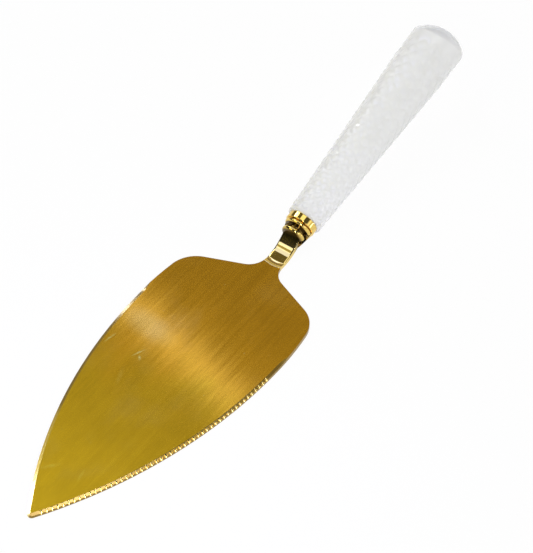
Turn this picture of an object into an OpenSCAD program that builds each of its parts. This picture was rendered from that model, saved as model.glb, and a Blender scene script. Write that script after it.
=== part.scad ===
// Cake server: a flat gilt steel blade, serrated along one edge, whose neck
// bends up to a small turned bolster and a hollow porcelain handle that is
// covered in raised diamonds.
// The blade lies on z = 0 with its tip towards -X and the butt towards +X.

/* [Blade] */
// Distance from the tip to the widest place
widest_from_tip = 107.2; // [97:0.2:114]
// Width at the widest place
blade_width = 63.2; // [54:0.2:72]
// Thickness of the steel sheet
sheet = 1.6; // [1.2:0.1:2]
// Radius of the rounded tip
tip_radius = 1.6; // [1.2:0.1:4]
// Distance from the tip to the corner between the heel and the neck
heel_from_tip = 143.1; // [139:0.1:146.8]
// Radius of the edge behind the widest place
rear_radius = 130; // [90:1:180]
// Radius of the two shoulders at the heel
shoulder_radius = 12; // [6:0.5:15]
// Slope of the heel's flanks, in degrees from square
flank_angle = 22; // [12:1:32]
// Radius where the heel runs into the neck
heel_fillet = 8; // [4:0.5:9]
// Width of the bevel along the two long edges
bevel_width = 1.1; // [0.6:0.05:1.2]
// Depth of the bevel at the edge
bevel_depth = 0.4; // [0.2:0.05:0.8]
// Radius of the bevel's run-out behind the widest place
bevel_runout_radius = 20; // [10:1:40]

/* [Serration] */
// Distance from groove to groove along the edge
groove_pitch = 2.11; // [1.6:0.01:4]
// Radius of each groove
groove_radius = 0.6; // [0.3:0.05:0.7]
// Distance that a groove runs in from the edge
groove_reach = 1.1; // [0.7:0.05:2]
// Depth of a groove at the edge
groove_depth = 1.1; // [0.6:0.05:1.2]
// Distance from the tip to the first groove
serration_start = 3.5; // [3:0.5:30]
// Distance from the tip to the last groove
serration_end = 100; // [60:0.5:103]

/* [Neck] */
// Thickness of the neck above the bend
neck_sheet = 2.5; // [1.8:0.1:2.8]
// Width of the neck
neck_width = 7.2; // [5:0.1:8]
// Distance from the tip to the start of the upward bend
bend_from_tip = 149.2; // [148.8:0.1:154]
// Radius of the bend on its upper side
bend_radius = 10.5; // [7:0.5:14]
// Slope of the neck above the bend, in degrees
rise_angle = 36; // [28:1:42]
// Straight length between the bend and the bolster
straight_length = 4.2; // [3:0.1:8]
// Height of the neck's middle above the handle's axis, at the bolster
neck_above_axis = -0.6; // [-0.8:0.05:0.4]

/* [Bolster] */
// Radius of the bead that the neck meets
front_bead_radius = 4.8; // [4.2:0.1:5.2]
// Width of the bead that the neck meets
front_bead_width = 2.4; // [1.6:0.1:3]
// Radius of the cove between the beads
cove_radius = 3.4; // [3:0.1:3.8]
// Width of the cove between the beads
cove_width = 1.1; // [0.5:0.1:2]
// Radius of the bead against the ferrule
rear_bead_radius = 5.6; // [4.6:0.1:5.9]
// Width of the bead against the ferrule
rear_bead_width = 1.7; // [1.2:0.1:2.4]
// Radius of the half-round tail at the ferrule
tail_root_radius = 5.8; // [5.2:0.1:6]
// Radius of the half-round tail at its far end
tail_end_radius = 3.9; // [3.2:0.1:4.4]
// Length of the half-round tail
tail_length = 12; // [9:0.5:14]
// Slope of the tail, in degrees
tail_angle = 10; // [7:0.5:12]
// Radius of the spigot that passes through the ferrule's front wall
spigot_radius = 3; // [2.6:0.1:3.6]

/* [Ferrule] */
// Outer radius of the ferrule
ferrule_radius = 6; // [5.6:0.1:6.5]
// Length of the ferrule
ferrule_length = 2.7; // [2.2:0.1:6]
// Thickness of the ferrule's wall
ferrule_wall = 0.6; // [0.4:0.05:0.8]

/* [Tang and cement] */
// Radius of the rod that holds the handle
tang_radius = 2; // [1.5:0.1:2.3]
// Length of the rod inside the handle
tang_length = 38; // [25:1:60]
// Depth of the rod's socket in the bolster
socket_depth = 4; // [2.5:0.1:5]
// Depth of the cement in the handle
cement_depth = 44; // [30:1:66]

/* [Handle] */
// Upward slope of the handle, in degrees
handle_angle = 14; // [12:0.1:18]
// Radius at the ferrule end, over the relief
handle_front_radius = 6.95; // [6.8:0.05:7.6]
// Radius at the butt end, over the relief
handle_back_radius = 10.65; // [9.6:0.05:11.1]
// Length of the tapered part
taper_length = 77; // [66:1:90]
// Length of the handle along its axis
handle_length = 97.3; // [82:0.1:112]
// Length of the plain end behind the diamonds
plain_length = 12.4; // [10:0.1:24]
// Radius of the domed butt
dome_radius = 13.7; // [13.3:0.1:17]
// Distance of the dome's centre below the handle's axis
dome_drop = 2; // [0:0.1:2.6]
// Radius of the rounded edge at the ferrule
edge_round = 0.8; // [0.4:0.1:1.2]
// Radius of the rounded edge at the dome, on the upper side
butt_round_top = 1.2; // [0.8:0.1:2.4]
// Radius of the rounded edge at the dome, on the underside
butt_round_under = 5; // [2.4:0.1:5.5]
// Thickness of the porcelain
porcelain_wall = 3.2; // [2:0.1:4]
// Radius of the mouth that takes the cement
mouth_radius = 3.4; // [2.8:0.1:4.2]
// Length of the straight mouth
mouth_length = 10; // [6:0.5:16]
// Height of the raised diamonds
relief_height = 0.4; // [0.1:0.05:0.6]
// Number of diamonds round the handle
relief_columns = 12; // [8:1:14]

/* [Hidden] */

// Clearance between pieces that are bonded or fitted together
bond_gap = 0.04;
// Overrun of every cut past the face that it opens
overrun = 2;
$fn = 96;
edge_sides = 360;

gilt_polished = [0.86, 0.70, 0.36];
gilt_satin = [0.76, 0.60, 0.25];
steel_grey = [0.70, 0.70, 0.72];
cement_grey = [0.80, 0.78, 0.72];
porcelain_white = [0.94, 0.94, 0.92];

// Blade outline: each long edge is one arc from the tip's round to the
// widest place, tangent to both
half_width = blade_width / 2;
half_neck = neck_width / 2;
edge_radius = (pow(widest_from_tip - tip_radius, 2) + pow(half_width, 2) - pow(tip_radius, 2))
    / (2 * (half_width - tip_radius));
edge_drop = edge_radius - half_width;
tip_turn = atan2(edge_drop, widest_from_tip - tip_radius);
tip_touch_x = tip_radius * (1 - cos(tip_turn));

// Heel: the shoulder touches the rear arc inside and the straight flank
rear_drop = rear_radius - half_width;
flank_normal = [cos(flank_angle), sin(flank_angle)];
heel_corner = [heel_from_tip, half_neck];
flank_reach = flank_normal * heel_corner;
shoulder_turn = asin((flank_reach - shoulder_radius - cos(flank_angle) * widest_from_tip
    + sin(flank_angle) * rear_drop) / (rear_radius - shoulder_radius)) - flank_angle;
shoulder_center = [widest_from_tip + (rear_radius - shoulder_radius) * sin(shoulder_turn),
    (rear_radius - shoulder_radius) * cos(shoulder_turn) - rear_drop];
shoulder_touch_x = widest_from_tip + rear_radius * sin(shoulder_turn);
flank_start = shoulder_center + shoulder_radius * flank_normal;
fillet_y = half_neck + heel_fillet;
fillet_x = (flank_reach + heel_fillet - sin(flank_angle) * fillet_y) / cos(flank_angle);
fillet_center = [fillet_x, fillet_y];
flank_end = fillet_center - heel_fillet * flank_normal;

// Neck in side view: flat, one bend in which it thickens and one straight rise
rise_along = [cos(rise_angle), sin(rise_angle)];
rise_across = [-sin(rise_angle), cos(rise_angle)];
under_radius = bend_radius + (neck_sheet - sheet * cos(rise_angle)) / (1 - cos(rise_angle));
bend_center = [bend_from_tip, sheet + bend_radius];
under_center = [bend_from_tip, under_radius];
bend_top = bend_center - bend_radius * rise_across;
bend_end = under_center - under_radius * rise_across;
neck_end = bend_top + rise_along * straight_length - rise_across * neck_sheet / 2;

// Handle axis: it starts at the rim between the ferrule and the porcelain
axis_along = [cos(handle_angle), sin(handle_angle)];
axis_up = [-sin(handle_angle), cos(handle_angle)];
bolster_length = ferrule_length + rear_bead_width + cove_width + front_bead_width;
rim_center = neck_end - axis_up * neck_above_axis + axis_along * bolster_length;

// Handle skin
dome_rise = sqrt(pow(dome_radius, 2) - pow(dome_drop, 2));
dome_from_rim = handle_length - dome_rise;
taper_slope = (handle_back_radius - handle_front_radius) / taper_length;
row_share = 2 * PI / relief_columns;
relief_end = handle_length - plain_length;
taper_rows = ln(handle_back_radius / handle_front_radius) / (row_share * taper_slope);
row_total = floor(row_at(relief_end));
neck_in_ferrule = ferrule_length - ferrule_wall - bond_gap;
neck_in_ferrule_radius = ferrule_radius - ferrule_wall - bond_gap;
hollow_radius = handle_back_radius - relief_height - porcelain_wall;
hollow_end = relief_end - hollow_radius;
butt_x = rim_center[0] + axis_along[0] * dome_from_rim - axis_up[0] * dome_drop + dome_radius;

// The middle of the overall length stands over the origin
function middle() = [-butt_x / 2, 0, 0];

module in_place() {
    translate(middle())
        children();
}

// Children stand on the rim, with +Z along the handle and +X underneath it
module on_handle_axis() {
    in_place()
        translate([rim_center[0], 0, rim_center[1]])
            rotate([0, 90 - handle_angle, 0])
                children();
}

module both_sides() {
    children();
    mirror([0, 1, 0])
        children();
}

// Children of the side view are drawn in X and Z and run across the blade
module across_blade(width) {
    rotate([90, 0, 0])
        linear_extrude(width, center = true)
            children();
}

module edge_lens(radius, drop) {
    intersection() {
        translate([widest_from_tip, -drop])
            circle(radius, $fn = edge_sides);
        translate([widest_from_tip, drop])
            circle(radius, $fn = edge_sides);
    }
}

// What a round of the given radius takes off between two directions
module corner_round(center, radius, from, to) {
    reach = 4 * radius;
    difference() {
        polygon(concat([center], [for (turn = [from, (from + to) / 2, to])
            center + reach * [cos(turn), sin(turn)]]));
        translate(center)
            circle(radius);
    }
}

module blade_plan(neck_tip) {
    flank_top_x = (flank_reach - sin(flank_angle) * blade_width) / cos(flank_angle);
    heel_side = [
        [widest_from_tip, blade_width],
        [flank_top_x, blade_width],
        flank_end,
        [fillet_x, half_neck],
        [neck_tip, half_neck]
    ];
    other_side = [for (i = [1 : len(heel_side)])
        let (p = heel_side[len(heel_side) - i])
        [p[0], -p[1]]];
    difference() {
        union() {
            intersection() {
                edge_lens(edge_radius, edge_drop);
                translate([-widest_from_tip, -blade_width])
                    square([2 * widest_from_tip, 2 * blade_width]);
            }
            intersection() {
                edge_lens(rear_radius, rear_drop);
                polygon(concat(heel_side, other_side));
            }
        }
        corner_round([tip_radius, 0], tip_radius, 180 - tip_turn, 180 + tip_turn);
        both_sides() {
            corner_round(shoulder_center, shoulder_radius, flank_angle, 90 - shoulder_turn);
            translate(fillet_center)
                circle(heel_fillet);
        }
    }
}

// Sheet in side view, up to a little past the bolster's front
module sheet_side() {
    past_neck = rise_along * (straight_length + overrun);
    translate([-overrun, 0])
        square([bend_from_tip + overrun, sheet]);
    intersection() {
        difference() {
            translate(under_center)
                circle(under_radius);
            translate(bend_center)
                circle(bend_radius);
        }
        polygon([
            bend_center,
            bend_center - [0, 2 * under_radius],
            bend_end + (bend_end - bend_top) * overrun,
            bend_top
        ]);
    }
    polygon([bend_end, bend_end + past_neck, bend_top + past_neck, bend_top]);
}

// Everything that lies on or above the underside of the neck
module above_neck_side() {
    translate(under_center)
        circle(under_radius);
    translate(bend_end)
        rotate(rise_angle)
            square([handle_length, handle_length]);
}

// What the bevel takes off an edge that is an arc of the given radius
module bevel_arc(center, radius, from, to) {
    outer = radius + overrun * bevel_width;
    top = sheet + overrun * bevel_depth;
    translate(center)
        rotate(from)
            rotate_extrude(angle = to - from, $fn = edge_sides)
                polygon([
                    [radius - (1 + overrun) * bevel_width, top],
                    [outer, sheet - (1 + overrun) * bevel_depth],
                    [outer, top]
                ]);
}

// The two bevels run on past the tip, so that they meet there in a ridge
module bevel_cut() {
    past_tip = 4;
    both_sides() {
        bevel_arc([widest_from_tip, -edge_drop], edge_radius, 90, 180 - tip_turn + past_tip);
        translate([widest_from_tip, half_width + bevel_runout_radius,
            sheet - (1 + overrun) * bevel_depth])
            cylinder(h = (1 + 2 * overrun) * bevel_depth,
                r1 = bevel_runout_radius - overrun * bevel_width,
                r2 = bevel_runout_radius + (1 + overrun) * bevel_width, $fn = edge_sides);
    }
}

// Grooves ground into the bevel of one edge, each sloping down to the outside
module serration() {
    first = acos((widest_from_tip - serration_start) / edge_radius);
    last = acos((widest_from_tip - serration_end) / edge_radius);
    step = groove_pitch / edge_radius * 180 / PI;
    count = floor((last - first) / step);
    slope = atan(groove_depth / groove_reach);
    translate([widest_from_tip, edge_drop, sheet])
        for (i = [0 : count])
            rotate(180 + first + i * step)
                translate([edge_radius - groove_reach, 0, 0])
                    rotate([0, 90 + slope, 0])
                        translate([-groove_radius, 0, -overrun])
                            cylinder(h = groove_reach + 2 * overrun, r = groove_radius, $fn = 24);
}

module blade() {
    color(gilt_satin)
        difference() {
            in_place()
                difference() {
                    intersection() {
                        translate([0, 0, -overrun])
                            linear_extrude(neck_end[1] + neck_sheet + 2 * overrun)
                                blade_plan(neck_end[0] + neck_sheet + overrun);
                        across_blade(2 * blade_width)
                            sheet_side();
                    }
                    bevel_cut();
                    serration();
                }
            on_handle_axis()
                translate([0, 0, -bolster_length])
                    cylinder(r = blade_width, h = handle_length);
        }
}

module bead(radius, width) {
    square([radius - width / 2, width]);
    translate([radius - width / 2, width / 2])
        circle(width / 2);
}

// Beads and cove of the bolster's upper half
module bead_section() {
    translate([0, -bolster_length])
        bead(front_bead_radius, front_bead_width);
    translate([0, -ferrule_length - rear_bead_width])
        bead(rear_bead_radius, rear_bead_width);
}

// Round core that carries the beads and passes through the ferrule's wall
module core_section() {
    translate([0, -bolster_length])
        square([cove_radius, bolster_length - ferrule_length]);
    translate([0, -bolster_length])
        square([spigot_radius, bolster_length - ferrule_length + ferrule_wall]);
}

// Half-round underside that runs from the ferrule to below the neck
module bolster_tail() {
    growth = (tail_root_radius - tail_end_radius) / tail_length;
    difference() {
        on_handle_axis()
            difference() {
                translate([0, 0, -ferrule_length])
                    rotate([0, handle_angle - tail_angle, 0])
                        translate([0, 0, -tail_length])
                            cylinder(h = tail_length + overrun, r1 = tail_end_radius,
                                r2 = tail_root_radius + growth * overrun);
                translate([-handle_length, -handle_length, -handle_length])
                    cube([handle_length, 2 * handle_length, 2 * handle_length]);
                translate([-handle_length, -handle_length, -ferrule_length])
                    cube(2 * handle_length);
            }
        in_place()
            across_blade(blade_width)
                above_neck_side();
    }
}

module bolster() {
    color(gilt_polished)
        difference() {
            union() {
                on_handle_axis() {
                    rotate(90)
                        rotate_extrude(angle = 180)
                            bead_section();
                    rotate_extrude()
                        core_section();
                }
                bolster_tail();
            }
            on_handle_axis()
                translate([0, 0, -ferrule_length - socket_depth])
                    cylinder(r = tang_radius + bond_gap, h = socket_depth + handle_length);
        }
}

module ferrule() {
    color(gilt_polished)
        on_handle_axis()
            translate([0, 0, -ferrule_length])
                rotate_extrude()
                    difference() {
                        union() {
                            square([ferrule_radius - ferrule_wall / 2, ferrule_length]);
                            translate([0, ferrule_wall / 2])
                                square([ferrule_radius, ferrule_length - ferrule_wall / 2]);
                            translate([ferrule_radius - ferrule_wall / 2, ferrule_wall / 2])
                                circle(ferrule_wall / 2);
                        }
                        translate([0, ferrule_wall])
                            square([ferrule_radius - ferrule_wall, ferrule_length]);
                        translate([0, -overrun])
                            square([spigot_radius + bond_gap, ferrule_length]);
                    }
}

module tang() {
    color(steel_grey)
        on_handle_axis()
            translate([0, 0, -ferrule_length - socket_depth])
                cylinder(r = tang_radius, h = ferrule_length + socket_depth + tang_length);
}

// Inside of the porcelain: a straight mouth, a taper and a round end
module hollow_section(gap = 0) {
    intersection() {
        union() {
            polygon([
                [0, -neck_in_ferrule - overrun],
                [mouth_radius - gap, -neck_in_ferrule - overrun],
                [mouth_radius - gap, mouth_length],
                [hollow_radius - gap, hollow_end],
                [0, hollow_end]
            ]);
            translate([0, hollow_end])
                circle(hollow_radius - gap);
        }
        translate([0, -neck_in_ferrule - overrun])
            square([handle_length, handle_length + neck_in_ferrule + overrun]);
    }
}

module cement() {
    color(cement_grey)
        on_handle_axis()
            rotate_extrude()
                difference() {
                    intersection() {
                        hollow_section(bond_gap);
                        translate([0, -neck_in_ferrule])
                            square([handle_back_radius, neck_in_ferrule + cement_depth]);
                    }
                    translate([0, -neck_in_ferrule - overrun])
                        square([tang_radius + bond_gap,
                            neck_in_ferrule + overrun + tang_length + bond_gap]);
                }
}

// Height of the relief, from 0 in the grooves to 1 on top of a diamond,
// at a place counted in columns round the handle and rows along it
function relief(column, row) =
    sqrt(abs(cos(180 * (column + row)) * cos(180 * (column - row))));

// Rows widen with the taper, so the diamonds keep their shape
function row_place(row) = row < taper_rows
    ? handle_front_radius * (exp(row_share * taper_slope * row) - 1) / taper_slope
    : taper_length + row_share * handle_back_radius * (row - taper_rows);
function row_at(place) = place < taper_length
    ? ln(taper_radius(place) / handle_front_radius) / (row_share * taper_slope)
    : taper_rows + (place - taper_length) / (row_share * handle_back_radius);
function taper_radius(place) = min(handle_back_radius, handle_front_radius + taper_slope * place);
function dome_place(radius, turn) = dome_from_rim
    + sqrt(pow(dome_radius, 2) - pow(radius * cos(turn) - dome_drop, 2) - pow(radius * sin(turn), 2));
// Round between the side and the dome: it touches both at every turn
function butt_corner(turn, share) =
    let (round = (butt_round_top + butt_round_under + (butt_round_under - butt_round_top) * cos(turn)) / 2)
    let (inward = handle_back_radius - round)
    let (across = inward - dome_drop * cos(turn))
    let (reach = sqrt(pow(dome_radius, 2) - pow(dome_drop * sin(turn), 2)) - round)
    let (along = sqrt(pow(reach, 2) - pow(across, 2)))
    let (lean = share * atan2(along, across))
    [inward + round * cos(lean), turn, dome_from_rim + along + round * sin(lean)];

module handle_skin() {
    part_share = 4;
    around = part_share * relief_columns;
    round_shares = [0, 0.3, 1];
    corner_shares = [0, 0.33, 0.67, 1];
    dome_shares = [0.85, 0.65, 0.4, 0.2];
    first_row = part_share / 2;
    last_row = part_share * row_total;
    turns = [for (i = [0 : around - 1]) 360 * i / around];
    front_rings = [for (k = round_shares) [for (turn = turns)
        [handle_front_radius - edge_round * (1 - sqrt(1 - pow(1 - k, 2))), turn, edge_round * k]]];
    relief_rings = [for (j = [first_row : last_row]) [for (i = [0 : around - 1])
        let (place = row_place(j / part_share))
        [taper_radius(place) - relief_height * (1 - relief(i / part_share, j / part_share)),
            turns[i], place]]];
    corner_rings = [for (k = corner_shares) [for (turn = turns) butt_corner(turn, k)]];
    dome_rings = [for (k = dome_shares) [for (turn = turns)
        let (radius = butt_corner(turn, 1)[0] * k)
        [radius, turn, dome_place(radius, turn)]]];
    rings = concat(front_rings, relief_rings, corner_rings, dome_rings);
    last_ring = len(rings) - 1;
    points = concat(
        [for (ring = rings) for (p = ring) [p[0] * cos(p[1]), p[0] * sin(p[1]), p[2]]],
        [[0, 0, 0], [0, 0, dome_place(0, 0)]]);
    front_middle = len(points) - 2;
    dome_middle = len(points) - 1;
    // The diagonals follow the grooves between the diamonds
    sides = [for (j = [0 : last_ring - 1]) for (i = [0 : around - 1])
        let (a = j * around + i, b = j * around + (i + 1) % around, c = a + around, d = b + around)
        each (i + j - len(front_rings) + first_row) % 2 == 0
            ? [[a, d, b], [a, c, d]]
            : [[a, c, b], [b, c, d]]];
    caps = [for (i = [0 : around - 1])
        let (next = (i + 1) % around, base = last_ring * around)
        each [[front_middle, i, next], [dome_middle, base + next, base + i]]];
    polyhedron(points, concat(sides, caps));
}

module handle() {
    color(porcelain_white)
        on_handle_axis()
            difference() {
                union() {
                    handle_skin();
                    translate([0, 0, -neck_in_ferrule])
                        cylinder(r = neck_in_ferrule_radius, h = neck_in_ferrule + mouth_length);
                }
                rotate_extrude()
                    hollow_section();
            }
}

blade();
bolster();
ferrule();
tang();
cement();
handle();
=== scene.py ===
import math

import bmesh
import bpy
import numpy as np
from mathutils import Matrix, Vector


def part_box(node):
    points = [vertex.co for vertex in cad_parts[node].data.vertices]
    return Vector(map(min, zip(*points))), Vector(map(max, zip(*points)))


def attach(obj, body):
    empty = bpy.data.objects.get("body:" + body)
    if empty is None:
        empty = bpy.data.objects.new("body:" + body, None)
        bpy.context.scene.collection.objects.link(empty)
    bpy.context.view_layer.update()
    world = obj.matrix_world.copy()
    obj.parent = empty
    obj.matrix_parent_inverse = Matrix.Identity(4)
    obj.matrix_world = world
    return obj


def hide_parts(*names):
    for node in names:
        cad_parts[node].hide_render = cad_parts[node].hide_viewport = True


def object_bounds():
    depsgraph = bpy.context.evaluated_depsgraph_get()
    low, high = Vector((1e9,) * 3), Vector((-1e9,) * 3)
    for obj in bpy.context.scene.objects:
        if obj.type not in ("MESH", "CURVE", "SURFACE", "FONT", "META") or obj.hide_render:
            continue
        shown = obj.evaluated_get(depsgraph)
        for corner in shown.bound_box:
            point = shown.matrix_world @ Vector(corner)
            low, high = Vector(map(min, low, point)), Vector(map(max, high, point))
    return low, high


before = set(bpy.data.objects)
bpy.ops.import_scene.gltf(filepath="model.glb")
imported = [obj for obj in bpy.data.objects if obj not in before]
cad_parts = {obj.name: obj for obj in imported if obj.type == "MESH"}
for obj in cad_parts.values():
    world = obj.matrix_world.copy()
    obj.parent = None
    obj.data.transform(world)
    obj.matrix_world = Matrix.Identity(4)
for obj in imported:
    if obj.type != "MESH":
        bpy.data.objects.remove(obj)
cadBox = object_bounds()
scene = bpy.context.scene
scene.view_settings.view_transform = "Standard"
mm = 0.001
cadLow = cadBox[0]
print("frame loaded")


# small helpers for node trees

nodeGap = (190, 170)  # space between nodes in the editor


def addNode(tree, kind, place, **settings):
    node = tree.nodes.new(kind)
    node.location = (place[0] * nodeGap[0], place[1] * nodeGap[1])
    for name, value in settings.items():
        setattr(node, name, value)
    return node


def wire(tree, source, target):
    tree.links.new(source, target)


def mathNode(tree, place, operation, first, second=None, clamp=False):
    node = addNode(tree, "ShaderNodeMath", place, operation=operation, use_clamp=clamp)
    for socket, value in zip(node.inputs, (first, second)):
        if value is None:
            continue
        if isinstance(value, (int, float)):
            socket.default_value = value
        else:
            wire(tree, value, socket)
    return node.outputs[0]


def spread(tree, place, value, low, high, newLow, newHigh):
    node = addNode(tree, "ShaderNodeMapRange", place, interpolation_type="SMOOTHSTEP")
    wire(tree, value, node.inputs["Value"])
    ends = {"From Min": low, "From Max": high, "To Min": newLow, "To Max": newHigh}
    for name, number in ends.items():
        node.inputs[name].default_value = number
    return node.outputs["Result"]


def blendColors(tree, place, share, first, second, mode="MIX"):
    node = addNode(tree, "ShaderNodeMix", place, data_type="RGBA", blend_type=mode)
    if isinstance(share, (int, float)):
        node.inputs["Factor"].default_value = share
    else:
        wire(tree, share, node.inputs["Factor"])
    for socket, value in zip((node.inputs[6], node.inputs[7]), (first, second)):
        if isinstance(value, (tuple, list)):
            socket.default_value = (*value, 1)
        else:
            wire(tree, value, socket)
    return node.outputs[2]


def newGroup(name, inputs, outputs):
    tree = bpy.data.node_groups.new(name, "ShaderNodeTree")
    for label, kind, value in inputs:
        socket = tree.interface.new_socket(label, in_out="INPUT", socket_type=kind)
        if value is not None:
            socket.default_value = value
    for label, kind in outputs:
        tree.interface.new_socket(label, in_out="OUTPUT", socket_type=kind)
    return tree, addNode(tree, "NodeGroupInput", (-3, 0)), addNode(tree, "NodeGroupOutput", (8, 0))


def placeGroup(tree, group, place, **values):
    node = addNode(tree, "ShaderNodeGroup", place, node_tree=group)
    for name, value in values.items():
        node.inputs[name].default_value = value
    return node


def stretchedNoise(tree, place, vector, scales, detail=3, roughness=0.55):
    mapping = addNode(tree, "ShaderNodeMapping", place)
    mapping.inputs["Scale"].default_value = scales
    wire(tree, vector, mapping.inputs["Vector"])
    noise = addNode(tree, "ShaderNodeTexNoise", (place[0] + 1, place[1]))
    noise.inputs["Scale"].default_value = 1
    noise.inputs["Detail"].default_value = detail
    noise.inputs["Roughness"].default_value = roughness
    wire(tree, mapping.outputs["Vector"], noise.inputs["Vector"])
    return noise.outputs["Fac"]


# shared effects: repeats per metre along and across, and where each mask starts and ends

grainForm = {
    "fine": (60, 5200, 5200), "broad": (16, 900, 900), "lean": (12, 700, 700),
    "smear": (34, 55, 55), "fleck": (330, 330, 330),
    "streakEdge": (0.3, 0.7), "smearEdge": (0.5, 0.75), "smearMost": 0.7, "fleckEdge": (0.73, 0.8),
}


def makeBrushLines():
    tree, given, result = newGroup("brushLines",
        [("Vector", "NodeSocketVector", None), ("Roughness", "NodeSocketFloat", 0.3),
         ("Spread", "NodeSocketFloat", 0.1)],
        [("Streak", "NodeSocketFloat"), ("Roughness", "NodeSocketFloat")])
    fine = stretchedNoise(tree, (-1, 1), given.outputs["Vector"], grainForm["fine"])
    broad = stretchedNoise(tree, (-1, -1), given.outputs["Vector"], grainForm["broad"], detail=2)
    both = mathNode(tree, (2, 0), "MULTIPLY", mathNode(tree, (1.2, 0), "ADD", fine, broad), 0.5)
    streak = spread(tree, (3, 0), both, *grainForm["streakEdge"], 0, 1)
    offset = mathNode(tree, (4, -1), "SUBTRACT", streak, 0.5)
    scaled = mathNode(tree, (5, -1), "MULTIPLY", offset, given.outputs["Spread"])
    wire(tree, streak, result.inputs["Streak"])
    wire(tree, mathNode(tree, (6, -1), "ADD", scaled, given.outputs["Roughness"], clamp=True),
        result.inputs["Roughness"])
    return tree


def makeHandlingMarks():  # faint wiped smears and a few specks
    tree, given, result = newGroup("handlingMarks",
        [("Vector", "NodeSocketVector", None), ("Color", "NodeSocketColor", None),
         ("Film", "NodeSocketColor", (0.8, 0.7, 0.5, 1)), ("Amount", "NodeSocketFloat", 0.2),
         ("Roughness", "NodeSocketFloat", 0.3), ("Dulling", "NodeSocketFloat", 0.1)],
        [("Color", "NodeSocketColor"), ("Roughness", "NodeSocketFloat")])
    smear = stretchedNoise(tree, (-1, 1), given.outputs["Vector"], grainForm["smear"], detail=5)
    fleck = stretchedNoise(tree, (-1, -1), given.outputs["Vector"], grainForm["fleck"], detail=2)
    smearMask = spread(tree, (1.5, 1), smear, *grainForm["smearEdge"], 0, grainForm["smearMost"])
    fleckMask = spread(tree, (1.5, -1), fleck, *grainForm["fleckEdge"], 0, 1)
    mask = mathNode(tree, (3, 0), "MAXIMUM", smearMask, fleckMask)
    amount = mathNode(tree, (4, 0), "MULTIPLY", mask, given.outputs["Amount"], clamp=True)
    wire(tree, blendColors(tree, (5, 1), amount, given.outputs["Color"], given.outputs["Film"]),
        result.inputs["Color"])
    dulled = mathNode(tree, (5, -1), "MULTIPLY", mask, given.outputs["Dulling"])
    wire(tree, mathNode(tree, (6, -1), "ADD", dulled, given.outputs["Roughness"], clamp=True),
        result.inputs["Roughness"])
    return tree


def makeBrushTilt():  # each streak leans a little along the brushing
    tree, given, result = newGroup("brushTilt",
        [("Vector", "NodeSocketVector", None), ("Amount", "NodeSocketFloat", 0.01)],
        [("Normal", "NodeSocketVector")])
    streak = stretchedNoise(tree, (-1, 0), given.outputs["Vector"], grainForm["lean"], detail=4)
    lean = mathNode(tree, (2, 0), "MULTIPLY", mathNode(tree, (1.4, 0), "SUBTRACT", streak, 0.5),
        given.outputs["Amount"])
    push = addNode(tree, "ShaderNodeCombineXYZ", (3, 0))
    wire(tree, lean, push.inputs["X"])
    added = addNode(tree, "ShaderNodeVectorMath", (4, 0), operation="ADD")
    wire(tree, addNode(tree, "ShaderNodeNewGeometry", (3, 1)).outputs["Normal"], added.inputs[0])
    wire(tree, push.outputs["Vector"], added.inputs[1])
    unit = addNode(tree, "ShaderNodeVectorMath", (5, 0), operation="NORMALIZE")
    wire(tree, added.outputs["Vector"], unit.inputs[0])
    wire(tree, unit.outputs["Vector"], result.inputs["Normal"])
    return tree


brushLines = makeBrushLines()
brushTilt = makeBrushTilt()
handlingMarks = makeHandlingMarks()


def newMaterial(name):
    material = bpy.data.materials.new(name)
    material.use_nodes = True
    tree = material.node_tree
    return material, tree, tree.nodes["Principled BSDF"]


def surfacePlace(tree, place=(-7, 0)):
    return addNode(tree, "ShaderNodeTexCoord", place).outputs["Object"]


def addBump(tree, place, height, strength, distance, shader):
    bump = addNode(tree, "ShaderNodeBump", place)
    bump.inputs["Strength"].default_value = strength
    bump.inputs["Distance"].default_value = distance
    wire(tree, height, bump.inputs["Height"])
    wire(tree, bump.outputs["Normal"], shader.inputs["Normal"])


# blade: satin faces, polished bevel, grooves and neck

bladeLook = {
    "satinGold": (0.80, 0.49, 0.034), "satinDeep": (0.74, 0.45, 0.028),
    "satinRoughness": 0.22, "satinSpread": 0.05, "satinAnisotropy": 0.98, "satinTilt": 0.026,
    "film": (0.82, 0.62, 0.22), "satinFilm": 0.22, "satinDulling": 0.05,
    "polishGold": (0.82, 0.61, 0.19), "polishRoughness": 0.05, "polishFilm": 0.04,
    "bevelRoughness": 0.1, "bevelFilm": 0.12,
    "toothShade": (0.33, 0.21, 0.045), "toothRoughness": 0.2,  # painted shade on the bevel between the grooves
    "grooveRoughness": 0.12,
    # upward parts of the normals that tell flat faces, bevels, grooves and walls apart
    "flatSlope": 0.999, "bevelSlope": 0.9, "wallSlope": 0.05,
    # painted reflection tint, olive towards the tip and orange towards the heel: tints, places in
    # millimetres from the tip, how far the border wanders
    "olive": (0.97, 1.04, 0.8), "orange": (1.02, 0.945, 0.85),
    "oliveTo": 62, "orangeFrom": 98, "wander": 60, "cloudGrain": (26, 40, 40),
    # wiped patches, as a share of the brightness
    "wipedGrain": (48, 90, 90), "wipedEdge": (0.3, 0.7), "wipedDark": 0.94, "wipedPale": 1.06,
    # each pale stroke: place along and across, turn in degrees, half length, half width, strength
    "scuffs": (
        (83, 27, -11, 3.8, 0.55, 1), (83.2, 14.1, -22, 3.8, 0.55, 0.9),
        (81.3, 12.3, 35, 1.6, 0.8, 1), (22, 7.5, -40, 5, 1, 0.25), (70, 12.8, 20, 6, 1.3, 0.15),
        (25, -4, 12, 4, 0.7, 0.25), (96, 19, 78, 16, 8, 0.24)),
    "scuffGold": (0.97, 0.84, 0.22), "scuffGrain": (700, 1100, 700),
    "scuffBreak": (0.35, 0.6, 0.25, 1), "scuffCore": 0.2,
    "scratchWidth": 3,  # wider strokes are wiped spots
}

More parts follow.
